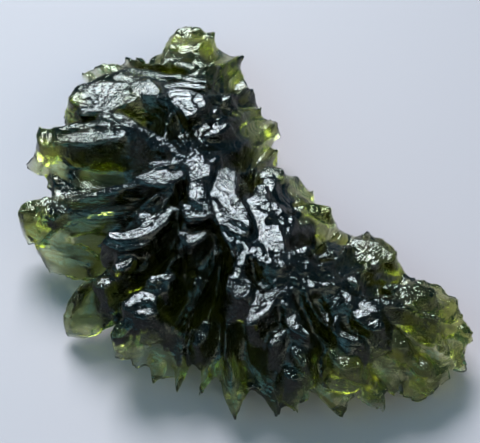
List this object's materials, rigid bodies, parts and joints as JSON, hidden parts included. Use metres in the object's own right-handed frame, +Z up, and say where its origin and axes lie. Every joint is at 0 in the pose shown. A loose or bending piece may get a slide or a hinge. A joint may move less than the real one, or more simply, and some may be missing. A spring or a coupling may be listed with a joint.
{
  "type": "moldavite stone",
  "caption": "Natural dark green glass stone, etched into toothed, blade-like ribs that fan out on both sides of a bent crest line.",
  "frame": {"origin": "centre of the stone's bounding box in plan, on the plane it rests on", "axes": "+Z up from the resting plane, +Y towards the narrow lobe, +X towards the broad tip"},
  "size_m": [0.0432, 0.0496, 0.0124],
  "materials": {
    "moldavite_glass": "natural etched glass, glossy, dark green where thick and olive where thin"
  },
  "bodies": {
    "root": {"moldavite": "moldavite_glass"}
  },
  "joints": []
}
